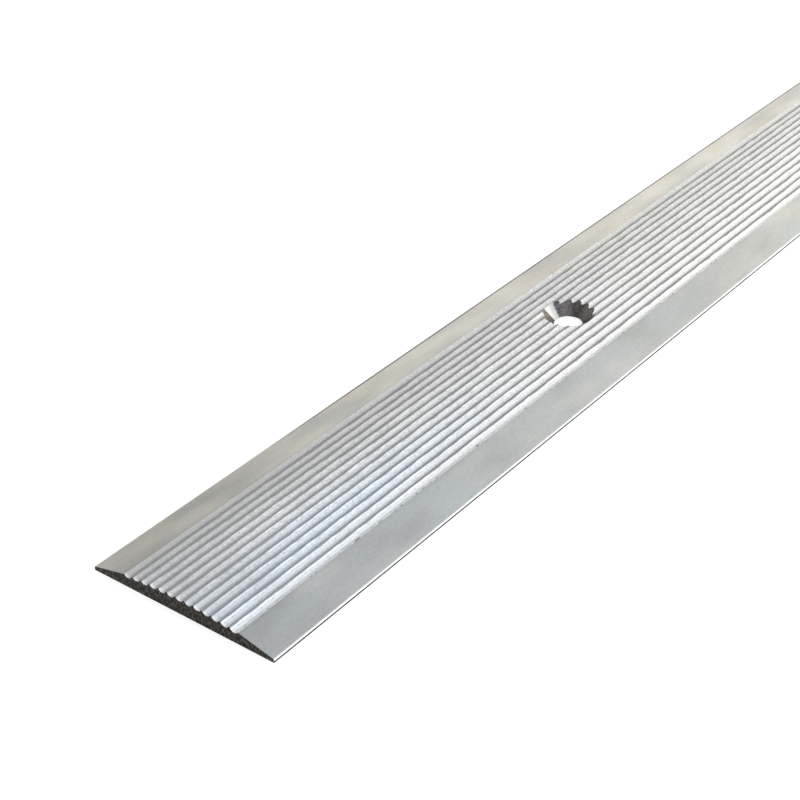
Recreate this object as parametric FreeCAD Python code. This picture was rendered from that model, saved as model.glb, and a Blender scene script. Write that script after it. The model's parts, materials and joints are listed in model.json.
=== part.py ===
import FreeCAD, Part
import math
import os

from FreeCAD import Vector

# Threshold strip: a low aluminium bar that covers the joint between two floors in a doorway.
#
# It is one extrusion. Its section has a flat underside, a thin upright face at each long edge, a plain
# flange sloping up from each edge, and between the flanges a gently crowned band of round-bottomed
# flutes with narrow ridges between them. The bar is sawn to length, then drilled and countersunk
# along its middle, so each countersink cuts through several ridges and its rim is scalloped.
#
# X runs along the strip, Y across it and Z up. The origin is the middle of the underside.
# Sizes are in millimetres, angles in degrees.

# The bar
LENGTH = 900.0               # from one sawn end to the other
WIDTH = 40.0                 # over both long edges
EDGE_THICKNESS = 0.8         # of the bar at its long edges
EDGE_ROUND = 0.2             # radius between the upright edge face and the flange

# The fluted band
SHOULDER_HEIGHT = 2.45       # from the underside to the outermost ridges
CROWN_RISE = 0.85            # how far the band's middle stands above the outermost ridges
FLUTE_COUNT = 13
FLUTE_PITCH = 1.955          # from ridge to ridge
FLUTE_DEPTH = 0.55           # from the line over two ridges down to the flute's bottom
RIDGE_ROUND = 0.3            # radius of each ridge's top

# The screw holes, for 5 mm countersunk screws
HOLE_COUNT = 4
HOLE_END_DISTANCE = 112.5    # from a sawn end to the middle of its nearest hole
HOLE_DIAMETER = 5.7
HOLE_LAND = 0.65             # height of the straight wall left under the countersink
COUNTERSINK_ANGLE = 90.0     # whole angle of the cone
CUTTER_OVERRUN = 1.0         # how far the drill and the countersink pass the bar's faces

BAND_HALF_WIDTH = FLUTE_COUNT * FLUTE_PITCH / 2
CROWN_HEIGHT = SHOULDER_HEIGHT + CROWN_RISE


def section_point(y, z):
    """A point of the cross-section, which is drawn in the plane through the strip's middle."""
    return Vector(0, y, z)


def crown_height_at(y):
    """Height of the arc over the ridges, at a distance y from the strip's centre line."""
    radius = (BAND_HALF_WIDTH ** 2 + CROWN_RISE ** 2) / (2 * CROWN_RISE)
    return CROWN_HEIGHT - radius + math.sqrt(radius ** 2 - y ** 2)


def ridge_centres():
    """Centre of each ridge's rounded top, from the far shoulder to the near one."""
    places = [BAND_HALF_WIDTH - FLUTE_PITCH * index for index in range(FLUTE_COUNT + 1)]
    return [section_point(y, crown_height_at(y) - RIDGE_ROUND) for y in places]


def edge_round_centre(side):
    """Centre of the round at one long edge; side is 1 for the far edge and -1 for the near one."""
    return section_point(side * (WIDTH / 2 - EDGE_ROUND), EDGE_THICKNESS - EDGE_ROUND)


def upward_normal(run):
    """Unit vector square to a run across the section, on its upper side."""
    normal = Vector(0, -run.z, run.y)
    if normal.z < 0:
        normal = normal * -1
    return normal.normalize()


def flute_arc(ridge, next_ridge):
    """Start, bottom and end of the concave arc that runs smoothly from one ridge round to the next."""
    run = next_ridge - ridge
    half_run = run.Length / 2
    reach = (half_run ** 2 + FLUTE_DEPTH ** 2) / (2 * FLUTE_DEPTH)
    flute_radius = reach - RIDGE_ROUND
    normal = upward_normal(run)
    centre = (ridge + next_ridge) * 0.5 + normal * (reach - FLUTE_DEPTH)
    start = ridge + (centre - ridge) * (RIDGE_ROUND / reach)
    end = next_ridge + (centre - next_ridge) * (RIDGE_ROUND / reach)
    return start, centre - normal * flute_radius, end


def flange_line(edge_centre, shoulder_centre):
    """Where the flange's top touches the edge round and the outermost ridge's round."""
    run = shoulder_centre - edge_centre
    lean = (EDGE_ROUND - RIDGE_ROUND) / run.Length
    normal = upward_normal(run) * math.sqrt(1 - lean ** 2) + run * (lean / run.Length)
    return edge_centre + normal * EDGE_ROUND, shoulder_centre + normal * RIDGE_ROUND


def round_over(start, centre, radius, end):
    """Arc about a centre from start to end, the short way."""
    outward = ((start + end) * 0.5 - centre).normalize()
    return Part.Arc(start, centre + outward * radius, end).toShape()


def section_face():
    """The extrusion's cross-section."""
    ridges = ridge_centres()
    far_edge = edge_round_centre(1)
    near_edge = edge_round_centre(-1)
    far_face_top = section_point(WIDTH / 2, far_edge.z)
    near_face_top = section_point(-WIDTH / 2, near_edge.z)
    far_corner = section_point(WIDTH / 2, 0)
    near_corner = section_point(-WIDTH / 2, 0)
    far_low, far_high = flange_line(far_edge, ridges[0])
    near_low, near_high = flange_line(near_edge, ridges[-1])

    outline = [
        Part.makeLine(near_corner, far_corner),
        Part.makeLine(far_corner, far_face_top),
        round_over(far_face_top, far_edge, EDGE_ROUND, far_low),
        Part.makeLine(far_low, far_high),
    ]
    reached = far_high
    for ridge, next_ridge in zip(ridges, ridges[1:]):
        start, bottom, end = flute_arc(ridge, next_ridge)
        outline.append(round_over(reached, ridge, RIDGE_ROUND, start))
        outline.append(Part.Arc(start, bottom, end).toShape())
        reached = end
    outline.append(round_over(reached, ridges[-1], RIDGE_ROUND, near_high))
    outline.append(Part.makeLine(near_high, near_low))
    outline.append(round_over(near_low, near_edge, EDGE_ROUND, near_face_top))
    outline.append(Part.makeLine(near_face_top, near_corner))
    return Part.Face(Part.Wire(outline))


def extruded_bar():
    """The plain bar, sawn square at both ends."""
    bar = section_face().extrude(Vector(LENGTH, 0, 0))
    bar.translate(Vector(-LENGTH / 2, 0, 0))
    return bar


def hole_places():
    """X of each screw hole: the outer two at their distance from the ends, the rest evenly between."""
    first = -LENGTH / 2 + HOLE_END_DISTANCE
    spacing = (LENGTH - 2 * HOLE_END_DISTANCE) / (HOLE_COUNT - 1)
    return [first + spacing * index for index in range(HOLE_COUNT)]


def hole_cutter(x):
    """What the drill and the countersink take out of the bar at one screw hole."""
    bore_radius = HOLE_DIAMETER / 2
    cone_height = CROWN_HEIGHT + CUTTER_OVERRUN - HOLE_LAND
    mouth_radius = bore_radius + cone_height * math.tan(math.radians(COUNTERSINK_ANGLE / 2))
    bore = Part.makeCylinder(bore_radius, HOLE_LAND + 2 * CUTTER_OVERRUN, Vector(x, 0, -CUTTER_OVERRUN))
    cone = Part.makeCone(bore_radius, mouth_radius, cone_height, Vector(x, 0, HOLE_LAND))
    return bore.fuse(cone)


def threshold_strip():
    """The finished strip: the bar with its row of countersunk screw holes."""
    strip = extruded_bar()
    for x in hole_places():
        strip = strip.cut(hole_cutter(x))
    return strip


os.makedirs("parts", exist_ok=True)
threshold_strip().exportStep("parts/threshold_strip.step")
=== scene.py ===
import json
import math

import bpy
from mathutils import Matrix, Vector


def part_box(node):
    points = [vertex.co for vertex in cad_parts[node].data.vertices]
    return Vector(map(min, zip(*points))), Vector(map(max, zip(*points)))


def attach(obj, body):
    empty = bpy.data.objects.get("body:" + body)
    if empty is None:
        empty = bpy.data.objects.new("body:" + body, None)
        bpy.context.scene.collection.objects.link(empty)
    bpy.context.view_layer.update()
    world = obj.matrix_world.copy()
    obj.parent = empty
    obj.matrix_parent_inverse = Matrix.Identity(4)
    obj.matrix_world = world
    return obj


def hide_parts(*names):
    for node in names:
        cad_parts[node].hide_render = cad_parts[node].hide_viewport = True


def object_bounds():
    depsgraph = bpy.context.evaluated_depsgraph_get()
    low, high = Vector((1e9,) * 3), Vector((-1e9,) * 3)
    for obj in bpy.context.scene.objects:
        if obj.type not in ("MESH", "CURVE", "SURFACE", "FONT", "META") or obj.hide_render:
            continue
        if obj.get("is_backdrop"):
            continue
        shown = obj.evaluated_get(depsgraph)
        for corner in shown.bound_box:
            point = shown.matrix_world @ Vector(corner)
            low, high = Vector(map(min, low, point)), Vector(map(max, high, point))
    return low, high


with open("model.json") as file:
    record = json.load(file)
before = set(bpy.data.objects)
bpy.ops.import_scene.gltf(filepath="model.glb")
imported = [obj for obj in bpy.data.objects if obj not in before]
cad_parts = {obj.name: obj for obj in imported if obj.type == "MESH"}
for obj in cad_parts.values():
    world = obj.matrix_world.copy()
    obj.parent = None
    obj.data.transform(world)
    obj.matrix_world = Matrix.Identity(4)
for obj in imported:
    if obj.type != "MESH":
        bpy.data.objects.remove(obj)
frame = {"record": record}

# %% [markdown]
# # A fluted aluminium threshold strip
#
# A threshold strip covers the joint between two floors in a doorway. It is a single bar: soft aluminium
# is pressed through a steel die, stretched straight, sawn to length, then drilled and countersunk for
# its screws. There is only one piece here, so this lesson is about one rule for a shape, and about the
# finishes that die, saw and drill leave on it.
#
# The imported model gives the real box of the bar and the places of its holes. Everything below is in
# metres, with X along the bar, Y across it and Z up. Only the finishes are in millimetres, because that
# is the size at which one looks at metal.

MM = 0.001
CAD_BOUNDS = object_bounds()
LOW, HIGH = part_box("threshold_strip")
LENGTH = HIGH.x - LOW.x
WIDTH = HIGH.y - LOW.y
HOLES = [mount for mount in frame["record"]["mounts"] if mount["kind"] == "bore"]
HOLE_PLACES = sorted(mount["pos_m"][0] for mount in HOLES)
HOLE_SPACING = HOLE_PLACES[1] - HOLE_PLACES[0]
HOLE_RADIUS = HOLES[0]["dims"]["r_mm"] * MM
HOLE_LAND = HOLES[0]["dims"]["length_mm"] * MM
print(f"bar {LENGTH / MM:.0f} x {WIDTH / MM:.0f} x {(HIGH.z - LOW.z) / MM:.1f} mm, {len(HOLES)} holes")

# %% [markdown]
# ## The section's rule
#
# The die cuts one outline all along the bar: a thin upright edge, a plain flange that slopes up, then a
# crowned band of thirteen round-bottomed flutes with narrow ridges between them, and the same again on
# the other side. Such an outline could be drawn point by point. It is really a height for each place
# across the bar, though, so it is kept as a few sizes here and as a rule in a later step. Changing one
# size then changes the whole bar.

# %% Sizes of the section
EDGE_THICKNESS = 0.8 * MM
EDGE_ROUND = 0.2 * MM
SHOULDER_HEIGHT = 2.45 * MM
CROWN_RISE = 0.85 * MM
FLUTE_COUNT = 13
FLUTE_PITCH = 1.955 * MM
FLUTE_DEPTH = 0.55 * MM
RIDGE_ROUND = 0.3 * MM
CROWN_HEIGHT = SHOULDER_HEIGHT + CROWN_RISE
BAND_HALF_WIDTH = FLUTE_COUNT * FLUTE_PITCH / 2
CROWN_RADIUS = (BAND_HALF_WIDTH ** 2 + CROWN_RISE ** 2) / (2 * CROWN_RISE)
FLUTE_REACH = ((FLUTE_PITCH / 2) ** 2 + FLUTE_DEPTH ** 2) / (2 * FLUTE_DEPTH)
FLANGE_SLOPE = (SHOULDER_HEIGHT - EDGE_THICKNESS) / (WIDTH / 2 - EDGE_ROUND - BAND_HALF_WIDTH)
print(f"flute radius {(FLUTE_REACH - RIDGE_ROUND) / MM:.2f} mm, crown radius {CROWN_RADIUS / MM:.0f} mm")

# %% [markdown]
# ## Small helpers for node trees
#
# Finishes and shapes are both made of nodes joined by links. `place_node` makes one node, sets what is
# a plain value and links what is a socket, so that a tree reads like a list of steps. `calculate` does
# the same for sums, which are most of any tree that follows a rule. `point` and `axes_of` put a vector
# together and take it apart.


# %% Helpers: one line makes one node
def place_node(tree, kind, inputs=None, **settings):
    """Adds a node; inputs maps a socket's name or number to a value or to another node's output."""
    node = tree.nodes.new(kind)
    for name, value in settings.items():
        setattr(node, name, value)
    for key, value in (inputs or {}).items():
        socket = node.inputs[key]
        if isinstance(value, bpy.types.NodeSocket):
            tree.links.new(value, socket)
        else:
            socket.default_value = value
    return node


def calculate(tree, operation, *values):
    """A Math node; values are numbers or outputs."""
    return place_node(tree, "ShaderNodeMath", dict(enumerate(values)), operation=operation).outputs[0]


def point(tree, **axes):
    """A vector from some of X, Y and Z."""
    return place_node(tree, "ShaderNodeCombineXYZ", axes).outputs[0]


def axes_of(tree, vector):
    """The X, Y and Z outputs of a vector."""
    return place_node(tree, "ShaderNodeSeparateXYZ", {0: vector}).outputs


# %% [markdown]
# ## Finishes
#
# The finishes come before the shape, because the tree that shapes the bar also says which finish each
# face has. All five are bare aluminium, so they share one start: a full metal, and the place on the bar
# in millimetres. What makes them differ is what happened to the surface (drawn through the die, sawn or
# cut by a drill), and the light and shade that is painted into their colours.


# %% Helper: the start of every finish
def new_finish(name):
    """A metal with its shader, and the place on the bar in millimetres."""
    material = bpy.data.materials.new(name)
    material.use_nodes = True
    tree = material.node_tree
    shader = tree.nodes["Principled BSDF"]
    shader.inputs["Metallic"].default_value = 1.0
    place = place_node(tree, "ShaderNodeTexCoord").outputs["Object"]
    in_mm = place_node(tree, "ShaderNodeVectorMath", {0: place, "Scale": 1 / MM},
                       operation="SCALE").outputs[0]
    return material, tree, shader, in_mm


# %% [markdown]
# Every mark on drawn metal is stretched: a scratch is tens of millimetres long and a tenth wide, a
# stain is a few centimetres long and one across. So the main helper is a noise with its own length,
# width and height of grain. `spread` turns it into the range that a colour or a roughness needs, `fade`
# ends a mark at a distance, `blend` mixes two colours by a share, and `dim` makes one darker or lighter.
# Their limits are kept in pairs: a STEP is the middle and half width of a rise for `spread`, and a BAND
# or a REACH is where a `fade` starts and ends.


# %% Helpers: stretched noise, its range, mixed colours and relief
def stretched_noise(tree, in_mm, grain, detail=2.0, roughness=0.5):
    """Noise whose grains have the given length, width and height in millimetres; about 0.5 on average."""
    scaled = place_node(tree, "ShaderNodeVectorMath", {0: in_mm, 1: tuple(1 / size for size in grain)},
                        operation="MULTIPLY").outputs[0]
    return place_node(tree, "ShaderNodeTexNoise", {
        "Vector": scaled, "Scale": 1.0, "Detail": detail, "Roughness": roughness}).outputs[0]


def spread(tree, value, low, high, middle=0.5, width=0.25):
    """Maps a value from around its middle to low..high, held to that range."""
    return place_node(tree, "ShaderNodeMapRange", {
        "Value": value, "From Min": middle - width, "From Max": middle + width,
        "To Min": low, "To Max": high}, clamp=True).outputs[0]


def fade(tree, value, start, end):
    """1 before start, 0 past end, with a soft step between."""
    return place_node(tree, "ShaderNodeMapRange", {
        "Value": value, "From Min": start, "From Max": end, "To Min": 1.0, "To Max": 0.0},
        clamp=True, interpolation_type="SMOOTHSTEP").outputs[0]


def blend(tree, share, first, second, kind="MIX"):
    """Mixes two colours; share, first and second are values or outputs."""
    node = place_node(tree, "ShaderNodeMix", data_type="RGBA", blend_type=kind)
    by_name = {socket.identifier: socket for socket in node.inputs}
    for name, value in (("Factor_Float", share), ("A_Color", first), ("B_Color", second)):
        if isinstance(value, bpy.types.NodeSocket):
            tree.links.new(value, by_name[name])
        elif name == "Factor_Float":
            by_name[name].default_value = value
        else:
            by_name[name].default_value = (*value, 1)
    return next(socket for socket in node.outputs if socket.identifier == "Result_Color")


def dim(tree, colour, level):
    """Multiplies a colour by a level."""
    return blend(tree, 1.0, colour, point(tree, X=level, Y=level, Z=level), "MULTIPLY")


def raise_grain(tree, shader, height, distance):
    """Bumps the surface by a height pattern; distance is in millimetres."""
    bump = place_node(tree, "ShaderNodeBump", {"Height": height, "Strength": 1.0, "Distance": distance * MM})
    tree.links.new(bump.outputs["Normal"], shader.inputs["Normal"])


# %% [markdown]
# ### Near a sawn end
#
# Many marks and much of the painted shade grow towards the sawn ends. Distances are measured from both
# ends at once, by taking the absolute place along the bar. Neither a stain nor the painted shade is even,
# so a soft cloud breaks it up. Two finishes need both, so they are helpers.


# %% Helpers: nearness to a sawn end, and clouds
def near_end(tree, in_mm, full, gone):
    """1 within the distance full of a sawn end, 0 past the distance gone, in millimetres."""
    along = calculate(tree, "ABSOLUTE", axes_of(tree, in_mm)["X"])
    from_end = calculate(tree, "SUBTRACT", LENGTH / 2 / MM, along)
    return fade(tree, from_end, full, gone)


def cloudy(tree, in_mm, least):
    """A soft cloud from least to 1 that breaks up a stain or a painted shade."""
    return spread(tree, stretched_noise(tree, in_mm, (9.0, 5.0, 5.0)), least, 1.0)


# %% [markdown]
# ### Folded places
#
# The holes repeat along the bar and the ridges repeat across it. A mark that belongs to each of them
# needs a place measured from the nearest one, so the place on the bar is folded: a remainder gives the
# place around the nearest hole, and a triangle wave gives the distance from the nearest ridge. The
# shape of the bar follows the same wave later on.


# %% Helpers: place around the nearest hole and off the nearest ridge
def around_hole(tree, in_mm):
    """Distance from the nearest hole's axis, direction around it in radians, and height."""
    place = axes_of(tree, in_mm)
    spacing = HOLE_SPACING / MM
    from_first = calculate(tree, "SUBTRACT", place["X"], HOLE_PLACES[0] / MM - spacing / 2)
    along = calculate(tree, "SUBTRACT", calculate(tree, "MODULO", from_first, spacing), spacing / 2)
    distance = calculate(tree, "SQRT", calculate(tree, "ADD", calculate(tree, "MULTIPLY", along, along),
                                                 calculate(tree, "MULTIPLY", place["Y"], place["Y"])))
    return distance, calculate(tree, "ARCTAN2", place["Y"], along), place["Z"]


def off_ridge(tree, across, pitch):
    """Distance from the nearest ridge, in the unit of across and pitch."""
    flutes = calculate(tree, "ADD", calculate(tree, "DIVIDE", across, pitch), 0.5)
    return calculate(tree, "MULTIPLY", calculate(tree, "PINGPONG", flutes, 0.5), pitch)


# %% [markdown]
# ### Fluted aluminium
#
# This finish has the most to tell, so it is made in layers. Each layer is a colour, and a share that
# says where it covers the layers before it. The first one is the flute as the die leaves it: bright and
# satin, with fine lines along the bar. Across the band a painted shade makes the far half slightly
# duller and the near half slightly brighter, and the near half has a faint blue bloom by the ends. A
# fine frosting of light and dark grains lies over it all.

# %% Fluted aluminium: the bright flutes
FLUTE_COLOUR = (0.835, 0.845, 0.86)
FLUTE_COLOUR_PALE = (0.865, 0.87, 0.88)
BLOOM_COLOUR = (0.79, 0.865, 0.96)
BLOOM_LINE, BLOOM_BAND, BLOOM_REACH = -6.0, (1.5, 10.0), (35.0, 100.0)
STREAK_COLOUR, STREAK_SHARE = (0.55, 0.56, 0.58), 0.22
# Painted shade: the flutes darken from the near side to the far side by this share.
ACROSS_SHADE = 0.15
FROSTING, FROSTING_CAP = 0.28, 1.14


def bright_flutes(tree, in_mm, across, drawn, patches, grain):
    """Colour of the flutes as they leave the die, with a painted shade across the band."""
    clean = blend(tree, spread(tree, patches, 0.0, 1.0), FLUTE_COLOUR, FLUTE_COLOUR_PALE)
    from_bloom = calculate(tree, "ABSOLUTE", calculate(tree, "SUBTRACT", across, BLOOM_LINE))
    bloom = calculate(tree, "MULTIPLY", fade(tree, from_bloom, *BLOOM_BAND),
                      near_end(tree, in_mm, *BLOOM_REACH))
    bloom_cloud = spread(tree, stretched_noise(tree, in_mm, (45.0, 4.0, 4.0)), 0.5, 1.0)
    bloomed = blend(tree, calculate(tree, "MULTIPLY", bloom, bloom_cloud), clean, BLOOM_COLOUR)
    streaked = blend(tree, spread(tree, drawn, 0.0, STREAK_SHARE), bloomed, STREAK_COLOUR)
    # Painted shade across the band, darker towards the far side.
    across_shade = calculate(tree, "MULTIPLY_ADD", across, -ACROSS_SHADE / (BAND_HALF_WIDTH / MM), 1.0)
    frosted = calculate(tree, "MULTIPLY", across_shade, spread(tree, grain, 1 - FROSTING, 1 + FROSTING))
    return dim(tree, streaked, calculate(tree, "MINIMUM", frosted, FROSTING_CAP))


# %% [markdown]
# The next layers are mostly painted shade. A grey painted shade darkens the flutes by the ends, most on
# the far side. A darker painted shade on the tops of the ridges draws the dark lines between the flutes,
# and it is a little lighter by the ends. The two shoulders are left without it, and a few specks of swarf
# are pressed into one of them.

# %% Fluted aluminium: painted shade by the ends and on the ridges, and specks
# Painted shade: grey that darkens the flutes near the sawn ends, most on the far side.
END_SHADE_COLOUR = (0.50, 0.50, 0.49)
END_SHADE, END_SHADE_STEP, END_SHADE_REACH = 0.42, (-9.0, 2.0), (5.0, 28.0)
FAR_SHADE, SIDE_STEP, SIDE_REACH = 0.88, (8.0, 5.0), (10.0, 125.0)
# Painted shade: the dark lines on the ridges, a little lighter by the ends.
RIDGE_SHADE_COLOUR = (0.285, 0.29, 0.305)
RIDGE_SHADE_COLOUR_END, RIDGE_END_REACH = (0.36, 0.365, 0.38), (15.0, 65.0)
RIDGE_SHADE_HALF, RIDGE_SHADE_SOFTNESS, RIDGE_SHADE_WANDER = 0.26, 0.08, 0.08
SHOULDER_CLEAR, SHOULDER_SOFTNESS = 0.4, 0.1
SPECK_COLOUR, SPECK_STEP = (0.10, 0.09, 0.09), (0.64, 0.02)
SPECK_INSET, SPECK_BAND = 0.25, (0.2, 0.4)


def painted_end_shade(tree, in_mm, across):
    """Share of the grey painted shade by the ends, most on the far side."""
    side = calculate(tree, "MULTIPLY", near_end(tree, in_mm, *SIDE_REACH),
                     spread(tree, across, 0.0, FAR_SHADE, *SIDE_STEP))
    near_end_shade = calculate(tree, "MULTIPLY", near_end(tree, in_mm, *END_SHADE_REACH),
                     spread(tree, across, 0.0, END_SHADE, *END_SHADE_STEP))
    return calculate(tree, "MULTIPLY", calculate(tree, "MAXIMUM", side, near_end_shade), cloudy(tree, in_mm, 0.75))


def shaded_ridges(tree, in_mm, across, from_ridge):
    """Share of the painted shade on the tops of the ridges, kept off the shoulders."""
    wander = spread(tree, stretched_noise(tree, in_mm, (4.0, 1.5, 2.0)), -RIDGE_SHADE_WANDER, RIDGE_SHADE_WANDER)
    ridge_shade = fade(tree, calculate(tree, "ADD", from_ridge, wander),
                  RIDGE_SHADE_HALF - RIDGE_SHADE_SOFTNESS, RIDGE_SHADE_HALF + RIDGE_SHADE_SOFTNESS)
    shoulder = BAND_HALF_WIDTH / MM - SHOULDER_CLEAR
    off_shoulder = fade(tree, calculate(tree, "ABSOLUTE", across),
                        shoulder - SHOULDER_SOFTNESS, shoulder + SHOULDER_SOFTNESS)
    return calculate(tree, "MULTIPLY", ridge_shade, off_shoulder)


def swarf_specks(tree, in_mm, across):
    """Share of the dark specks along one shoulder."""
    dots = stretched_noise(tree, in_mm, (1.1, 0.5, 0.5), 1.0)
    from_line = calculate(tree, "ABSOLUTE",
                          calculate(tree, "ADD", across, BAND_HALF_WIDTH / MM - SPECK_INSET))
    return calculate(tree, "MULTIPLY", spread(tree, dots, 0.0, 1.0, *SPECK_STEP),
                     fade(tree, from_line, *SPECK_BAND))


# %% [markdown]
# The last two layers are painted light and shade. A painted highlight brightens each flute by the sawn
# end. A painted shade carries the dark of the cone over the flanks of the ridges, which rounds the
# scallops of its rim. That shade follows the cone: at any height, the 45 degree cone stands as far from
# the bore as the metal stands above the bore's land. It leans to one side of the hole and fades away on
# the other side.

# %% Fluted aluminium: painted glints at the ends and painted shade at the hole rims
# Painted highlight: a bright glint on each flute by the sawn end.
END_GLINT_COLOUR, END_GLINT_REACH = (0.95, 0.95, 0.95), (0.2, 0.8)
# Painted shade: the dark of the countersink carried over the ridge flanks at its rim.
RIM_SHADE_COLOUR = (0.10, 0.095, 0.09)
RIM_SHADE_WIDTH, RIM_SHADE_WANDER, RIM_SHADE_BAND = 0.42, 0.05, (-0.05, 0.07)
RIM_SHADE_FLANK, FLANK_HALF = 0.48, 0.36
RIM_SHADE_LEAN, LEAN_STEP = math.radians(15), (0.25, 0.2)


def end_glints(tree, in_mm, patches, ridge_shade):
    """Share of the painted glints at the ends of the flutes."""
    flecks = calculate(tree, "SUBTRACT", spread(tree, patches, 0.4, 0.9), ridge_shade)
    share = calculate(tree, "MULTIPLY", near_end(tree, in_mm, *END_GLINT_REACH), flecks)
    return calculate(tree, "MAXIMUM", share, 0.0)


def countersink_rim_shade(tree, in_mm, from_ridge, grain):
    """Share of the painted shade around each countersink's rim."""
    distance, turn, height = around_hole(tree, in_mm)
    cone_here = calculate(tree, "ADD", height, (HOLE_RADIUS - HOLE_LAND) / MM)
    from_cone = calculate(tree, "SUBTRACT", distance, cone_here)
    from_cone = calculate(tree, "ADD", from_cone, spread(tree, grain, -RIM_SHADE_WANDER, RIM_SHADE_WANDER))
    off_flank = calculate(tree, "ABSOLUTE", calculate(tree, "SUBTRACT", from_ridge, RIM_SHADE_FLANK))
    leaning = calculate(tree, "COSINE", calculate(tree, "SUBTRACT", turn, RIM_SHADE_LEAN))
    rim_shade_reach = calculate(tree, "MULTIPLY", fade(tree, off_flank, FLANK_HALF / 3, FLANK_HALF),
                       spread(tree, leaning, 0.0, RIM_SHADE_WIDTH, *LEAN_STEP))
    return fade(tree, calculate(tree, "SUBTRACT", from_cone, rim_shade_reach), *RIM_SHADE_BAND)


# %% [markdown]
# With its layers ready, the finish itself is short. Three noises are made once and shared. The drawn
# lines and the fine grain give both colour and relief, so that a mark and its shading lie in one place.

# %% Finish: fluted aluminium
FLUTE_ROUGHNESS, ROUGHNESS_RANGE = 0.48, 0.06
DRAWN_SHARE, FLUTE_RELIEF = 0.6, 0.012


def fluted_finish():
    """The bright flutes with every layer over them."""
    material, tree, shader, in_mm = new_finish("fluted_aluminium")
    across = axes_of(tree, in_mm)["Y"]
    from_ridge = off_ridge(tree, across, FLUTE_PITCH / MM)
    drawn = stretched_noise(tree, in_mm, (25.0, 0.12, 0.5), 3.0)
    patches = stretched_noise(tree, in_mm, (14.0, 5.0, 5.0))
    grain = stretched_noise(tree, in_mm, (0.65, 0.42, 0.42), 2.0, 0.75)
    # Painted shade along each ridge, which draws the dark lines between the flutes.
    ridge_shade = shaded_ridges(tree, in_mm, across, from_ridge)
    ridge = blend(tree, near_end(tree, in_mm, *RIDGE_END_REACH), RIDGE_SHADE_COLOUR, RIDGE_SHADE_COLOUR_END)
    colour = bright_flutes(tree, in_mm, across, drawn, patches, grain)
    # Layers in order: painted shade by the ends, painted shade on the ridges, specks, painted glints, painted
    # shade at the rims.
    for share, layer in ((painted_end_shade(tree, in_mm, across), END_SHADE_COLOUR),
                         (ridge_shade, ridge),
                         (swarf_specks(tree, in_mm, across), SPECK_COLOUR),
                         (end_glints(tree, in_mm, patches, ridge_shade), END_GLINT_COLOUR),
                         (countersink_rim_shade(tree, in_mm, from_ridge, grain), RIM_SHADE_COLOUR)):
        colour = blend(tree, share, colour, layer)
    tree.links.new(colour, shader.inputs["Base Color"])
    rough = calculate(tree, "ADD", spread(tree, grain, -ROUGHNESS_RANGE, ROUGHNESS_RANGE), FLUTE_ROUGHNESS)
    tree.links.new(rough, shader.inputs["Roughness"])
    relief = calculate(tree, "ADD", grain, calculate(tree, "MULTIPLY", drawn, DRAWN_SHARE))
    raise_grain(tree, shader, relief, FLUTE_RELIEF)
    return material


FLUTED = fluted_finish()
print("finish made:", FLUTED.name)

# %% [markdown]
# ### Flange aluminium
#
# The two flanges are ironed smooth by the die, so they are a darker, more even satin than the flutes.
# What shows on them is soft: cloudy patches of thicker and thinner oxide, tinted by a painted reflection
# that is warm on the far flange and cool on the near one, with a few long lines. By the ends a painted
# shade darkens them, with grey stains near the shoulders.

# %% Flange aluminium: oxide, painted reflection, painted shade and stains
FLANGE_COLOUR = (0.49, 0.495, 0.49)
FLANGE_COLOUR_PALE = (0.625, 0.62, 0.60)
# Painted reflection: a warm tint on the far flange and a cool one on the near flange.
FLANGE_WARM_REFLECTION = (0.615, 0.575, 0.54)
FLANGE_COOL_REFLECTION = (0.54, 0.565, 0.575)
COOL_REFLECTION_TINT = (0.94, 0.96, 0.975)
CLOUD_SHARE, CLOUD_STEP = 0.75, (0.56, 0.10)
FLANGE_LINE_COLOUR, LINE_SHARE = (0.42, 0.42, 0.42), 0.2
# Painted shade: how much the flanges darken by the ends.
FLANGE_SHADE, FLANGE_SHADE_REACH, FLANGE_FROSTING = 0.14, (28.0, 50.0), 0.06
FLANGE_STAIN_COLOUR, STAIN_REACH, STAIN_WIDTH = (0.33, 0.335, 0.34), (0.0, 18.0), 5.0


def flange_oxide_and_reflection(tree, across, mottle, clouds, lines):
    """Colour of the bare flanges with a painted reflection tint; across less than 0 is the cool side."""
    cool_side = fade(tree, across, -1.0, 1.0)
    tone = blend(tree, spread(tree, mottle, 0.0, 1.0, width=0.15), FLANGE_COLOUR, FLANGE_COLOUR_PALE)
    clouded = blend(tree, spread(tree, clouds, 0.0, CLOUD_SHARE, *CLOUD_STEP), tone,
                    blend(tree, cool_side, FLANGE_WARM_REFLECTION, FLANGE_COOL_REFLECTION))
    lined = blend(tree, spread(tree, lines, 0.0, LINE_SHARE), clouded, FLANGE_LINE_COLOUR)
    return blend(tree, cool_side, lined, blend(tree, 1.0, lined, COOL_REFLECTION_TINT, "MULTIPLY"))


def flange_shade_level(tree, in_mm, across):
    """Level of the painted shade by the ends, a quarter as strong on the cool side, with a fine frosting."""
    frost = stretched_noise(tree, in_mm, (0.8, 0.6, 0.6))
    painted_darkening = spread(tree, across, -FLANGE_SHADE / 4, -FLANGE_SHADE, middle=0.0, width=1.0)
    return calculate(tree, "MULTIPLY_ADD", near_end(tree, in_mm, *FLANGE_SHADE_REACH), painted_darkening,
                     spread(tree, frost, 1 - FLANGE_FROSTING, 1 + FLANGE_FROSTING))


def flange_stain(tree, in_mm, across):
    """Share of the grey stains by the ends, near the shoulders."""
    shoulder = BAND_HALF_WIDTH / MM
    by_shoulder = fade(tree, calculate(tree, "ABSOLUTE", across), shoulder, shoulder + STAIN_WIDTH)
    by_end = calculate(tree, "MULTIPLY", near_end(tree, in_mm, *STAIN_REACH), cloudy(tree, in_mm, 0.3))
    return calculate(tree, "MULTIPLY", by_end, by_shoulder)


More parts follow.
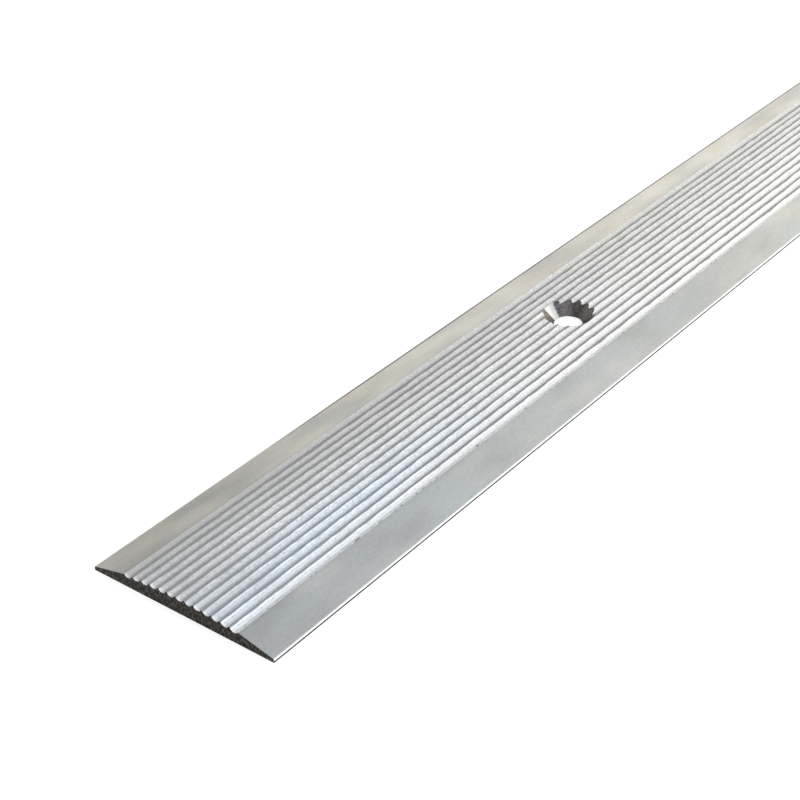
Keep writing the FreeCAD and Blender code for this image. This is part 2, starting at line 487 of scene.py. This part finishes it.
# %% [markdown]
# The thin long edges belong to the flanges. The near one carries a painted highlight, down to a painted
# contact shadow at its foot. The far one has a painted shadow line on its upper side, which begins a few
# centimetres from the sawn ends.

# %% Flange aluminium: the long edges
# Painted highlight colour, for the near long edge and for the countersink.
PAINTED_HIGHLIGHT = (0.93, 0.93, 0.93)
EDGE_HIGHLIGHT_BAND = (0.02, 0.16)
# Painted shadow: the contact shadow at the near edge's foot and the line along the far edge.
EDGE_SHADOW_COLOUR = (0.05, 0.045, 0.045)
FOOT_BAND = (0.34, 0.40)
FAR_LINE_SHARE, FAR_LINE_WIDTH, FAR_LINE_SOFTNESS, FAR_LINE_REACH = 0.85, 0.6, 0.1, (35.0, 70.0)
FAR_LINE_TOP_STEP = (0.62, 0.08)
EDGE = WIDTH / 2 / MM


def edge_highlight(tree, across):
    """Share of the painted highlight on the near long edge."""
    return fade(tree, across, EDGE_HIGHLIGHT_BAND[0] - EDGE, EDGE_HIGHLIGHT_BAND[1] - EDGE)


def edge_shadows(tree, in_mm, place):
    """Share of the painted shadows: a contact shadow at the foot of the near edge, and a line along the top
    of the far edge.
    """
    foot = calculate(tree, "MULTIPLY", edge_highlight(tree, place["Y"]), fade(tree, place["Z"], *FOOT_BAND))
    far_line = spread(tree, place["Y"], 0.0, FAR_LINE_SHARE, EDGE - FAR_LINE_WIDTH, FAR_LINE_SOFTNESS)
    off_end = calculate(tree, "SUBTRACT", 1.0, near_end(tree, in_mm, *FAR_LINE_REACH))
    on_top = spread(tree, place["Z"], 0.0, 1.0, *FAR_LINE_TOP_STEP)
    far_line = calculate(tree, "MULTIPLY", calculate(tree, "MULTIPLY", far_line, off_end), on_top)
    return calculate(tree, "MAXIMUM", foot, far_line)


# %% [markdown]
# The flanges' finish lays these over each other. Their patches change the colour and the gloss together,
# as a real film does, and the lines are a very low relief.

# %% Finish: flange aluminium
FLANGE_ROUGHNESS, GLOSS_RANGE = 0.36, 0.04
FLANGE_RELIEF = 0.002


def flange_finish():
    """The oxide with its painted reflection tint and painted shade by the ends, the stains, and the painted
    highlight and shadows of the long edges.
    """
    material, tree, shader, in_mm = new_finish("flange_aluminium")
    place = axes_of(tree, in_mm)
    mottle = stretched_noise(tree, in_mm, (20.0, 7.0, 7.0), 2.5)
    clouds = stretched_noise(tree, in_mm, (13.0, 6.0, 6.0), 1.5)
    lines = stretched_noise(tree, in_mm, (60.0, 0.18, 0.5), 3.0)
    fine_lines = stretched_noise(tree, in_mm, (3.0, 0.15, 0.15))
    colour = flange_oxide_and_reflection(tree, place["Y"], mottle, clouds, lines)
    # Painted shade darkens the flanges by the ends.
    colour = dim(tree, colour, flange_shade_level(tree, in_mm, place["Y"]))
    for share, layer in ((flange_stain(tree, in_mm, place["Y"]), FLANGE_STAIN_COLOUR),
                         (edge_highlight(tree, place["Y"]), PAINTED_HIGHLIGHT),
                         (edge_shadows(tree, in_mm, place), EDGE_SHADOW_COLOUR)):
        colour = blend(tree, share, colour, layer)
    tree.links.new(colour, shader.inputs["Base Color"])
    rough = calculate(tree, "ADD", spread(tree, mottle, GLOSS_RANGE, -GLOSS_RANGE), FLANGE_ROUGHNESS)
    tree.links.new(rough, shader.inputs["Roughness"])
    raise_grain(tree, shader, calculate(tree, "ADD", lines, fine_lines), FLANGE_RELIEF)
    return material


FLANGE = flange_finish()
print("finish made:", FLANGE.name)

# %% [markdown]
# ### Sawn end
#
# The sawn face is painted dark as shade, with the paler cuts of the saw's teeth on it. It is nearly
# matt. The teeth pass from one long edge to the other, so their marks are upright and narrow on the
# face.

# %% Finish: sawn end
# Painted shade: the dark of the sawn end, which faces away from the light.
SAWN_SHADE_DARK = (0.006, 0.005, 0.004)
SAWN_SHADE_PALE = (0.028, 0.024, 0.020)
CUT_COLOUR, CUT_STEP = (0.13, 0.118, 0.104), (0.56, 0.10)
SAWN_RELIEF = 0.03


def sawn_finish():
    """Painted shade with the paler cuts of the teeth."""
    material, tree, shader, in_mm = new_finish("sawn_end")
    cuts = stretched_noise(tree, in_mm, (1.0, 0.35, 0.9), 3.0, 0.7)
    shade_noise = stretched_noise(tree, in_mm, (1.0, 1.6, 0.8), 3.0)
    tone = blend(tree, spread(tree, shade_noise, 0.0, 1.0), SAWN_SHADE_DARK, SAWN_SHADE_PALE)
    colour = blend(tree, spread(tree, cuts, 0.0, 1.0, *CUT_STEP), tone, CUT_COLOUR)
    tree.links.new(colour, shader.inputs["Base Color"])
    tree.links.new(spread(tree, shade_noise, 0.5, 0.7), shader.inputs["Roughness"])
    raise_grain(tree, shader, cuts, SAWN_RELIEF)
    return material


SAWN = sawn_finish()
print("finish made:", SAWN.name)

# %% [markdown]
# ### Countersunk aluminium
#
# The countersink chatters in soft aluminium and leaves streaks that run down the cone, paler than the
# painted shade that darkens the cone under them. One sector of the cone and the drilled wall under it
# carry a painted highlight. The streaks are a noise on the direction around the hole's middle, so they
# all point to it.

# %% Finish: countersunk aluminium
# Painted highlight: where it lies around the hole and how wide it is.
HIGHLIGHT_MIDDLE, HIGHLIGHT_HALF, HIGHLIGHT_SOFTNESS = math.radians(87), math.radians(16), 0.05
# Painted shade: the dark of the countersink cone.
CONE_SHADE_DARK = (0.05, 0.045, 0.042)
CONE_SHADE_PALE = (0.27, 0.26, 0.25)
TORN_COLOUR = (0.36, 0.33, 0.33)
CHATTER_STRETCH, CHATTER_SCALE = 0.12, 5.0
BRIGHT_GLOSS = 0.12
CHATTER_RELIEF = 0.05


def countersunk_finish():
    """Painted shade and chatter streaks on the cone, with a painted highlight on one sector and on the land.
    """
    material, tree, shader, in_mm = new_finish("countersunk_aluminium")
    _, turn, height = around_hole(tree, in_mm)
    around = point(tree, X=calculate(tree, "COSINE", turn), Y=calculate(tree, "SINE", turn),
                   Z=calculate(tree, "MULTIPLY", height, CHATTER_STRETCH))
    chatter = place_node(tree, "ShaderNodeTexNoise", {
        "Vector": around, "Scale": CHATTER_SCALE, "Detail": 4.0, "Roughness": 0.65}).outputs[0]
    shade_noise = stretched_noise(tree, in_mm, (0.6, 0.6, 0.6), 3.0, 0.7)
    cone_shade = blend(tree, spread(tree, shade_noise, 0.0, 1.0, width=0.15), CONE_SHADE_DARK, CONE_SHADE_PALE)
    torn = blend(tree, spread(tree, chatter, 0.0, 0.5), cone_shade, TORN_COLOUR)
    ragged = calculate(tree, "ADD", turn, spread(tree, shade_noise, -HIGHLIGHT_SOFTNESS, HIGHLIGHT_SOFTNESS))
    from_sector = calculate(tree, "ABSOLUTE", calculate(tree, "SUBTRACT", ragged, HIGHLIGHT_MIDDLE))
    sector = fade(tree, from_sector, HIGHLIGHT_HALF - HIGHLIGHT_SOFTNESS, HIGHLIGHT_HALF + HIGHLIGHT_SOFTNESS)
    land = fade(tree, height, HOLE_LAND / MM, HOLE_LAND / MM + 0.1)
    bright = calculate(tree, "MAXIMUM", sector, land)
    # Painted highlight on one sector of the cone and on the drilled wall.
    tree.links.new(blend(tree, bright, torn, PAINTED_HIGHLIGHT), shader.inputs["Base Color"])
    rough = calculate(tree, "MULTIPLY_ADD", bright, -BRIGHT_GLOSS, spread(tree, chatter, 0.36, 0.56))
    tree.links.new(rough, shader.inputs["Roughness"])
    raise_grain(tree, shader, chatter, CHATTER_RELIEF)
    return material


COUNTERSUNK = countersunk_finish()
print("finish made:", COUNTERSUNK.name)

# %% [markdown]
# ### Underside
#
# The underside is never seen in use. It is plain drawn metal, brighter than the flanges, with long die
# lines and cloudy patches where the bar lay on the run-out table.

# %% Finish: underside
UNDERSIDE_COLOUR = (0.55, 0.55, 0.545)
UNDERSIDE_COLOUR_PALE = (0.66, 0.66, 0.655)
DIE_LINE_COLOUR, DIE_LINE_SHARE = (0.45, 0.45, 0.45), 0.3
DIE_LINE_RELIEF = 0.006


def underside_finish():
    """Cloudy metal with long die lines."""
    material, tree, shader, in_mm = new_finish("underside_aluminium")
    lines = stretched_noise(tree, in_mm, (80.0, 0.25, 1.0), 3.0)
    mottle = stretched_noise(tree, in_mm, (30.0, 8.0, 8.0), 3.0)
    tone = blend(tree, spread(tree, mottle, 0.0, 1.0), UNDERSIDE_COLOUR, UNDERSIDE_COLOUR_PALE)
    colour = blend(tree, spread(tree, lines, 0.0, DIE_LINE_SHARE), tone, DIE_LINE_COLOUR)
    tree.links.new(colour, shader.inputs["Base Color"])
    tree.links.new(spread(tree, lines, 0.34, 0.46), shader.inputs["Roughness"])
    raise_grain(tree, shader, lines, DIE_LINE_RELIEF)
    return material


UNDERSIDE = underside_finish()
print("finish made:", UNDERSIDE.name)

# %% [markdown]
# ## The shape, step 1: a sheet of columns
#
# The bar is grown by a geometry tree. It starts as a flat sheet with one column of corners for each
# place across the bar. The columns are spaced by a rule: on the fluted band they crowd towards the
# narrow ridges, where the outline turns fastest, and on the flanges they crowd towards the edge's
# round. Along the bar two corners would be enough, one at each sawn end, because an extrusion is
# straight. Two more stand beside every hole, so that the faces which the holes cut stay short and
# shade evenly.

# %% Helper: the flat sheet
COLUMNS_PER_FLUTE = 32
FLANGE_COLUMNS = 16
RIDGE_CROWDING = 0.6
HOLE_MARGIN = 9 * MM


def place_axes(tree):
    """The place of each corner, as X, Y and Z outputs."""
    return axes_of(tree, place_node(tree, "GeometryNodeInputPosition").outputs[0])


def facing_axes(tree):
    """The way each face looks, as X, Y and Z outputs."""
    return axes_of(tree, place_node(tree, "GeometryNodeInputNormal").outputs[0])


def choose(tree, switch, when_true, when_false):
    """One number or another."""
    return place_node(tree, "GeometryNodeSwitch", {
        "Switch": switch, "True": when_true, "False": when_false}, input_type="FLOAT").outputs[0]


def place_of_row(tree, given, row, rows):
    """Where a row lies along the bar: rows 1 and 2 stand beside the first hole, 3 and 4 beside the next."""
    number = calculate(tree, "ADD", row, rows / 2)
    hole = calculate(tree, "FLOOR", calculate(tree, "DIVIDE", calculate(tree, "SUBTRACT", number, 0.5), 2.0))
    side = calculate(tree, "SUBTRACT", calculate(tree, "MULTIPLY_ADD", hole, -2.0, number), 1.5)
    middle = calculate(tree, "MULTIPLY_ADD", hole, given["Hole spacing"], given["First hole"])
    beside_hole = calculate(tree, "MULTIPLY_ADD", side, 2 * HOLE_MARGIN, middle)
    sawn_end = calculate(tree, "MULTIPLY", calculate(tree, "SIGN", row),
                         calculate(tree, "MULTIPLY", given["Length"], 0.5))
    is_end = calculate(tree, "GREATER_THAN", calculate(tree, "ABSOLUTE", row), rows / 2 - 0.5)
    return choose(tree, is_end, sawn_end, beside_hole)


def place_of_column(tree, given, column):
    """Where a column of corners lies across the bar."""
    band_columns = FLUTE_COUNT * COLUMNS_PER_FLUTE
    flutes_out = calculate(tree, "DIVIDE", column, float(COLUMNS_PER_FLUTE))
    wave = calculate(tree, "MULTIPLY", calculate(tree, "ADD", flutes_out, 0.5), math.tau)
    shift = calculate(tree, "MULTIPLY", calculate(tree, "SINE", wave), RIDGE_CROWDING / math.tau)
    crowded = calculate(tree, "SUBTRACT", flutes_out, shift)
    on_band = calculate(tree, "MULTIPLY", crowded, given["Flute pitch"])
    past_band = calculate(tree, "SUBTRACT", calculate(tree, "ABSOLUTE", column), band_columns / 2)
    share = calculate(tree, "DIVIDE", past_band, float(FLANGE_COLUMNS))
    reach = calculate(tree, "SINE", calculate(tree, "MULTIPLY", share, math.pi / 2))
    flange_width = calculate(tree, "SUBTRACT", calculate(tree, "MULTIPLY", given["Width"], 0.5),
                             given["Band half width"])
    on_flange = calculate(tree, "MULTIPLY", calculate(tree, "SIGN", column),
                          calculate(tree, "MULTIPLY_ADD", reach, flange_width, given["Band half width"]))
    return choose(tree, calculate(tree, "GREATER_THAN", share, 0.0), on_flange, on_band)


def flat_sheet(tree, given):
    """The sheet of corners, flat on the floor."""
    columns = FLUTE_COUNT * COLUMNS_PER_FLUTE + 2 * FLANGE_COLUMNS
    rows = 2 * len(HOLES) + 1
    sheet = place_node(tree, "GeometryNodeMeshGrid", {
        "Size X": float(rows), "Size Y": float(columns), "Vertices X": rows + 1, "Vertices Y": columns + 1})
    place = place_axes(tree)
    return place_node(tree, "GeometryNodeSetPosition", {
        "Geometry": sheet.outputs["Mesh"],
        "Position": point(tree, X=place_of_row(tree, given, place["X"], rows),
                          Y=place_of_column(tree, given, place["Y"]))}).outputs[0]


# %% [markdown]
# ## The shape, step 2: the height rule
#
# Over the fluted band the height is the crown's arc, less a drop that depends only on the distance from
# the nearest ridge: close to the ridge the small round of its top, further out the arc of the flute.
# The two arcs meet where their slopes agree. Over a flange it is a straight line that ends in the small
# round at the bar's edge.

# %% Helper: height of the section
BAND_MARGIN = 0.001 * MM


def arc_height(tree, radius, distance):
    """Height of a circle over its middle, at a distance from the middle."""
    squares = calculate(tree, "SUBTRACT", calculate(tree, "POWER", radius, 2.0),
                        calculate(tree, "POWER", distance, 2.0))
    return calculate(tree, "SQRT", calculate(tree, "MAXIMUM", squares, 0.0))


def band_height(tree, given, y):
    """Height of the fluted band at y."""
    pitch, depth, ridge_round, reach = (
        given[name] for name in ("Flute pitch", "Flute depth", "Ridge round", "Flute reach"))
    half_pitch = calculate(tree, "MULTIPLY", pitch, 0.5)
    from_ridge = off_ridge(tree, y, pitch)
    from_bottom = calculate(tree, "SUBTRACT", half_pitch, from_ridge)
    flute_radius = calculate(tree, "SUBTRACT", reach, ridge_round)
    flute_drop = calculate(tree, "SUBTRACT", calculate(tree, "SUBTRACT", flute_radius, depth),
                           arc_height(tree, flute_radius, from_bottom))
    ridge_drop = calculate(tree, "SUBTRACT", arc_height(tree, ridge_round, from_ridge), ridge_round)
    meeting = calculate(tree, "DIVIDE", calculate(tree, "MULTIPLY", ridge_round, half_pitch), reach)
    drop = choose(tree, calculate(tree, "LESS_THAN", from_ridge, meeting), ridge_drop, flute_drop)
    crown = calculate(tree, "ADD", calculate(tree, "SUBTRACT", given["Crown height"], given["Crown radius"]),
                      arc_height(tree, given["Crown radius"], y))
    return calculate(tree, "ADD", crown, drop)


def flange_height(tree, given, y):
    """Height of a flange at y, with the round at its edge."""
    out = calculate(tree, "ABSOLUTE", y)
    past_band = calculate(tree, "SUBTRACT", out, given["Band half width"])
    line = calculate(tree, "SUBTRACT", given["Shoulder height"],
                     calculate(tree, "MULTIPLY", given["Flange slope"], past_band))
    round_start = calculate(tree, "SUBTRACT", calculate(tree, "MULTIPLY", given["Width"], 0.5),
                            given["Edge round"])
    past_start = calculate(tree, "SUBTRACT", out, round_start)
    round_middle = calculate(tree, "SUBTRACT", given["Edge thickness"], given["Edge round"])
    rounded = calculate(tree, "ADD", round_middle,
                        arc_height(tree, given["Edge round"], calculate(tree, "MAXIMUM", past_start, 0.0)))
    at_edge = calculate(tree, "GREATER_THAN", past_start, 0.0)
    return choose(tree, at_edge, calculate(tree, "MINIMUM", line, rounded), line)


def section_height(tree, given, y):
    """Height of the whole section at y."""
    just_off = calculate(tree, "ADD", given["Band half width"], BAND_MARGIN)
    off_band = calculate(tree, "GREATER_THAN", calculate(tree, "ABSOLUTE", y), just_off)
    return choose(tree, off_band, flange_height(tree, given, y), band_height(tree, given, y))


# %% [markdown]
# ## The shape, step 3: a closed bar with its finishes
#
# The sheet is thickened, its upper corners are lifted to the section's height, and a turned-over copy
# closes the bottom. Faces then get their finish from the way they look: the ends look along X, the
# fluted band looks up between the shoulders, and everything else starts as flange. How far a face has
# to look that way is a share of 1, which is straight that way.

# %% Helper: the undrilled bar
MERGE_DISTANCE = 0.0001 * MM
LOOKS_UP, LOOKS_ENDWAYS, LOOKS_DOWN = 0.2, 0.9, -0.99


def plain_bar(tree, given):
    """The extruded and sawn bar, closed on all sides, with its finishes."""
    flat = flat_sheet(tree, given)
    thick = place_node(tree, "GeometryNodeExtrudeMesh", {
        "Mesh": flat, "Offset": (0, 0, 1), "Offset Scale": given["Edge thickness"], "Individual": False})
    place = place_axes(tree)
    height = section_height(tree, given, place["Y"])
    shaped = place_node(tree, "GeometryNodeSetPosition", {
        "Geometry": thick.outputs["Mesh"], "Selection": thick.outputs["Top"],
        "Position": point(tree, X=place["X"], Y=place["Y"], Z=height)})
    bottom = place_node(tree, "GeometryNodeFlipFaces", {"Mesh": flat})
    both = tree.nodes.new("GeometryNodeJoinGeometry")
    for half in (shaped, bottom):
        tree.links.new(half.outputs[0], both.inputs[0])
    geometry = place_node(tree, "GeometryNodeMergeByDistance", {
        "Geometry": both.outputs[0], "Distance": MERGE_DISTANCE}).outputs[0]

    facing = facing_axes(tree)
    between = calculate(tree, "LESS_THAN", calculate(tree, "ABSOLUTE", place["Y"]), given["Band half width"])
    fluted = calculate(tree, "MULTIPLY", calculate(tree, "GREATER_THAN", facing["Z"], LOOKS_UP), between)
    sawn = calculate(tree, "GREATER_THAN", calculate(tree, "ABSOLUTE", facing["X"]), LOOKS_ENDWAYS)
    for finish, chosen in ((FLANGE, True), (FLUTED, fluted), (SAWN, sawn)):
        geometry = place_node(tree, "GeometryNodeSetMaterial", {
            "Geometry": geometry, "Selection": chosen, "Material": finish}).outputs[0]
    return geometry


# %% [markdown]
# ## The shape, step 4: the drill and the countersink
#
# One cutter has the form of the tool: a cylinder for the drill with a cone on top for the countersink.
# It starts as a cylinder with one extra ring of corners, whose rings are then moved to the land's top
# and to the cone's mouth. A row of points carries one cutter to each hole. The bar less the cutters
# gives every rim its scallops by itself, because the cone meets ridges and flutes at different heights.

# %% Helper: the row of cutters
HOLE_SEGMENTS = 160
CUTTER_OVERRUN = 1 * MM


def hole_cutters(tree, given):
    """One cutter at each hole; the cone's sides lean at 45 degrees, so it widens as fast as it rises."""
    cylinder = place_node(tree, "GeometryNodeMeshCylinder", {
        "Vertices": HOLE_SEGMENTS, "Side Segments": 2, "Radius": 1.0, "Depth": 2.0})
    place = place_axes(tree)
    is_top = calculate(tree, "GREATER_THAN", place["Z"], 0.5)
    is_bottom = calculate(tree, "LESS_THAN", place["Z"], -0.5)
    top = calculate(tree, "ADD", given["Crown height"], CUTTER_OVERRUN)
    cone_height = calculate(tree, "SUBTRACT", top, given["Hole land"])
    radius = calculate(tree, "MULTIPLY_ADD", is_top, cone_height, given["Hole radius"])
    level = choose(tree, is_bottom, -CUTTER_OVERRUN, choose(tree, is_top, top, given["Hole land"]))
    shaped = place_node(tree, "GeometryNodeSetPosition", {
        "Geometry": cylinder.outputs["Mesh"],
        "Position": point(tree, X=calculate(tree, "MULTIPLY", place["X"], radius),
                          Y=calculate(tree, "MULTIPLY", place["Y"], radius), Z=level)})
    cutter = place_node(tree, "GeometryNodeSetMaterial", {
        "Geometry": shaped.outputs[0], "Material": COUNTERSUNK})
    row = place_node(tree, "GeometryNodeMeshLine", {
        "Count": given["Hole count"], "Start Location": point(tree, X=given["First hole"]),
        "Offset": point(tree, X=given["Hole spacing"])})
    placed = place_node(tree, "GeometryNodeInstanceOnPoints", {
        "Points": row.outputs["Mesh"], "Instance": cutter.outputs[0]})
    return place_node(tree, "GeometryNodeRealizeInstances", {"Geometry": placed.outputs[0]}).outputs[0]


# %% [markdown]
# ## The whole tree
#
# The sizes are the tree's named inputs. The drilled bar is made real, and the last step gives the
# underside its finish, which is simplest at the end, when only the underside still looks straight down.

# %% The tree of the bar
SIZES = {
    "Length": LENGTH, "Width": WIDTH, "Edge thickness": EDGE_THICKNESS, "Edge round": EDGE_ROUND,
    "Shoulder height": SHOULDER_HEIGHT, "Crown height": CROWN_HEIGHT, "Crown radius": CROWN_RADIUS,
    "Flange slope": FLANGE_SLOPE, "Flute pitch": FLUTE_PITCH, "Flute depth": FLUTE_DEPTH,
    "Flute reach": FLUTE_REACH, "Ridge round": RIDGE_ROUND, "Band half width": BAND_HALF_WIDTH,
    "Hole radius": HOLE_RADIUS, "Hole land": HOLE_LAND, "First hole": HOLE_PLACES[0],
    "Hole spacing": HOLE_SPACING, "Hole count": len(HOLES),
}


def strip_tree():
    """The bar less its cutters, made real, with the underside's finish last."""
    tree = bpy.data.node_groups.new("fluted_strip", "GeometryNodeTree")
    for name, size in SIZES.items():
        kind = "NodeSocketInt" if isinstance(size, int) else "NodeSocketFloat"
        tree.interface.new_socket(name, in_out="INPUT", socket_type=kind)
    tree.interface.new_socket("Mesh", in_out="OUTPUT", socket_type="NodeSocketGeometry")
    given = tree.nodes.new("NodeGroupInput").outputs
    drilled = place_node(tree, "GeometryNodeMeshBoolean", {"Mesh 1": plain_bar(tree, given)},
                         operation="DIFFERENCE", solver="EXACT")
    tree.links.new(hole_cutters(tree, given), drilled.inputs["Mesh 2"])
    real = place_node(tree, "GeometryNodeRealizeInstances", {"Geometry": drilled.outputs["Mesh"]})
    facing = facing_axes(tree)
    finished = place_node(tree, "GeometryNodeSetMaterial", {
        "Geometry": real.outputs[0], "Material": UNDERSIDE,
        "Selection": calculate(tree, "LESS_THAN", facing["Z"], LOOKS_DOWN)})
    tree.links.new(finished.outputs[0], tree.nodes.new("NodeGroupOutput").inputs[0])
    return tree


STRIP_TREE = strip_tree()
print(f"tree of {len(STRIP_TREE.nodes)} nodes with {len(SIZES)} sizes")

# %% [markdown]
# ## Growing the bar
#
# The tree runs once with its sizes and the result is kept as a plain mesh, so nothing live is left on
# the piece. Empty material places that the tree's first sheet brought along are dropped. Corners are
# smoothed except where the outline really breaks: at the long edges, the sawn ends and the holes' rims.

# %% The bar as a plain mesh
SHARP_ANGLE = math.radians(28)


def grown_piece(name, tree, sizes):
    """Runs a geometry tree once with its sizes, and gives the result back as a plain mesh object."""
    piece = bpy.data.objects.new(name, bpy.data.meshes.new(name))
    bpy.context.scene.collection.objects.link(piece)
    modifier = piece.modifiers.new("shape", "NODES")
    modifier.node_group = tree
    for item in tree.interface.items_tree:
        if item.item_type == "SOCKET" and item.in_out == "INPUT":
            modifier[item.identifier] = sizes[item.name]
    depsgraph = bpy.context.evaluated_depsgraph_get()
    mesh = bpy.data.meshes.new_from_object(piece.evaluated_get(depsgraph), depsgraph=depsgraph)
    piece.modifiers.clear()
    piece.data = mesh
    for index in reversed(range(len(mesh.materials))):
        if mesh.materials[index] is None:
            mesh.materials.pop(index=index)
    return piece


strip = grown_piece("fluted_strip", STRIP_TREE, SIZES)
strip.data.shade_smooth()
strip.data.set_sharp_from_angle(angle=SHARP_ANGLE)
counts = [0] * len(strip.data.materials)
for face in strip.data.polygons:
    counts[face.material_index] += 1
print("faces by finish:", {finish.name: count for finish, count in zip(strip.data.materials, counts)})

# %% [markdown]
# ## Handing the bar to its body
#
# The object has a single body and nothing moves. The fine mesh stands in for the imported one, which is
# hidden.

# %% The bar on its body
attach(strip, "root")
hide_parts("threshold_strip")

# %% [markdown]
# ## Floor
#
# The strip lies on a plain white sweep, which takes its shadow. A little glow, which only the camera and
# reflections see, brings the floor up to white, so the metal mirrors a white floor too.

# %% Floor
FLOOR_HALF = 6.0
FLOOR_DROP = 0.02 * MM
FLOOR_COLOUR = (0.9, 0.9, 0.9, 1.0)
FLOOR_GLOW = 0.6


def floor_material():
    """White paper that takes the shadow, with a glow for the camera and for reflections."""
    material = bpy.data.materials.new("white_sweep")
    material.use_nodes = True
    tree = material.node_tree
    tree.nodes.clear()
    ray = tree.nodes.new("ShaderNodeLightPath").outputs
    seen = calculate(tree, "MAXIMUM", ray["Is Camera Ray"],
                     calculate(tree, "MAXIMUM", ray["Is Glossy Ray"], ray["Is Transmission Ray"]))
    paper = place_node(tree, "ShaderNodeBsdfDiffuse", {"Color": FLOOR_COLOUR})
    glow = place_node(tree, "ShaderNodeEmission", {"Strength": calculate(tree, "MULTIPLY", seen, FLOOR_GLOW)})
    both = place_node(tree, "ShaderNodeAddShader", {0: paper.outputs[0], 1: glow.outputs[0]})
    place_node(tree, "ShaderNodeOutputMaterial", {"Surface": both.outputs[0]})
    return material


floor_corners = [(x * FLOOR_HALF, y * FLOOR_HALF, -FLOOR_DROP)
                 for x, y in ((-1, -1), (1, -1), (1, 1), (-1, 1))]
floor_mesh = bpy.data.meshes.new("floor")
floor_mesh.from_pydata(floor_corners, [], [(0, 1, 2, 3)])
floor_mesh.materials.append(floor_material())
floor = bpy.data.objects.new("floor", floor_mesh)
bpy.context.scene.collection.objects.link(floor)
floor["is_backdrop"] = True
print(f"floor {2 * FLOOR_HALF:.0f} m square")

# %% [markdown]
# ## Light
#
# Bare metal looks like what it reflects, so the studio matters as much as the finish. The room is dark,
# with a few soft glows around it. The two on the near side are a little cool and catch the flutes'
# walls that face the eye. The low ones ahead are a little warm and light the flanges and the flutes'
# floors, and the high ones fill. The last three stand behind the eye, overhead and beyond the far edge.
# They light the bar for eyes elsewhere and bring the whole set to a plain level. Each glow is a lobe
# that fades with the angle from its own direction.

# %% Light: soft glows around a dark room
NARROWNESS = 12.0
GLOWS = (
    # azimuth, elevation, brightness, colour
    (-85, 6, 1.15, (0.97, 1.0, 1.05)),
    (-62, 6, 2.35, (0.96, 1.0, 1.07)),
    (-16, 6, 1.63, (1.06, 0.98, 0.80)),
    (7, 6, 0.96, (1.03, 0.99, 0.86)),
    (30, 6, 0.78, (1.04, 0.99, 0.90)),
    (53, 6, 0.73, (1.02, 1.01, 0.94)),
    (1, 32, 0.60, (1.01, 0.99, 0.88)),
    (-10, 60, 0.64, (0.97, 1.03, 1.15)),
    (40, 60, 0.30, (0.96, 1.0, 1.07)),
    (222, 14, 4.00, (0.98, 1.0, 1.02)),
    (270, 80, 1.00, (0.98, 1.0, 1.02)),
    (100, 22, 1.10, (1.0, 1.0, 0.97)),
)


def heading(azimuth, elevation):
    """Unit vector that points there; both angles in degrees."""
    turn, rise = math.radians(azimuth), math.radians(elevation)
    return Vector((math.cos(turn) * math.cos(rise), math.sin(turn) * math.cos(rise), math.sin(rise)))


def soft_world():
    """The dark room with its glows."""
    world = bpy.data.worlds.new("soft_studio")
    world.use_nodes = True
    tree = world.node_tree
    direction = place_node(tree, "ShaderNodeTexCoord").outputs["Generated"]
    light = point(tree)
    for azimuth, elevation, brightness, colour in GLOWS:
        towards = place_node(tree, "ShaderNodeVectorMath", {0: direction, 1: heading(azimuth, elevation)},
                             operation="DOT_PRODUCT").outputs["Value"]
        away = calculate(tree, "SUBTRACT", towards, 1.0)
        lobe = calculate(tree, "EXPONENT", calculate(tree, "MULTIPLY", away, NARROWNESS))
        tint = tuple(brightness * channel for channel in colour)
        glow = place_node(tree, "ShaderNodeVectorMath", {0: tint, "Scale": lobe},
                          operation="SCALE").outputs[0]
        light = place_node(tree, "ShaderNodeVectorMath", {0: light, 1: glow}, operation="ADD").outputs[0]
    background = tree.nodes["Background"]
    background.inputs["Strength"].default_value = 1.0
    tree.links.new(light, background.inputs["Color"])
    bpy.context.scene.world = world


soft_world()
bpy.context.scene.view_settings.view_transform = "Standard"
print(f"{len(GLOWS)} glows")

# %% [markdown]
# ## Camera
#
# The camera looks down at the sawn end from the near left, with a longish lens, and is tipped a little
# to one side, as a hand-held shot is. Its axes are worked out from three plain angles, so each can be
# changed alone.

# %% Camera
LENS, SENSOR_WIDTH = 77.04, 36
CAMERA_YAW, CAMERA_PITCH, CAMERA_ROLL = 39.36, -32.35, math.radians(-2.39)
CAMERA_PLACE = Vector((LOW.x - 0.1427, -0.1643, 0.1749))
forward = heading(CAMERA_YAW, CAMERA_PITCH)
level_right = forward.cross(Vector((0, 0, 1))).normalized()
level_up = level_right.cross(forward)
right = level_right * math.cos(CAMERA_ROLL) + level_up * math.sin(CAMERA_ROLL)
up = level_up * math.cos(CAMERA_ROLL) - level_right * math.sin(CAMERA_ROLL)
camera = bpy.data.objects.new("camera", bpy.data.cameras.new("camera"))
camera.data.sensor_width = SENSOR_WIDTH
camera.data.lens = LENS
camera.data.clip_start = 0.01
camera.matrix_world = Matrix((
    (right.x, up.x, -forward.x, CAMERA_PLACE.x), (right.y, up.y, -forward.y, CAMERA_PLACE.y),
    (right.z, up.z, -forward.z, CAMERA_PLACE.z), (0, 0, 0, 1)))
bpy.context.scene.collection.objects.link(camera)
bpy.context.scene.camera = camera
print(f"camera {CAMERA_PLACE.z * 100:.0f} cm above the floor")

# %% [markdown]
# ## Printing the size
#
# The imported box and the finished one are printed side by side, so that any change of size shows.

# %% Sizes, and the end
VISUAL_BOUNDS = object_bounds()
for title, bounds in (("cad box", CAD_BOUNDS), ("visual box", VISUAL_BOUNDS)):
    print(title, [tuple(corner) for corner in bounds])
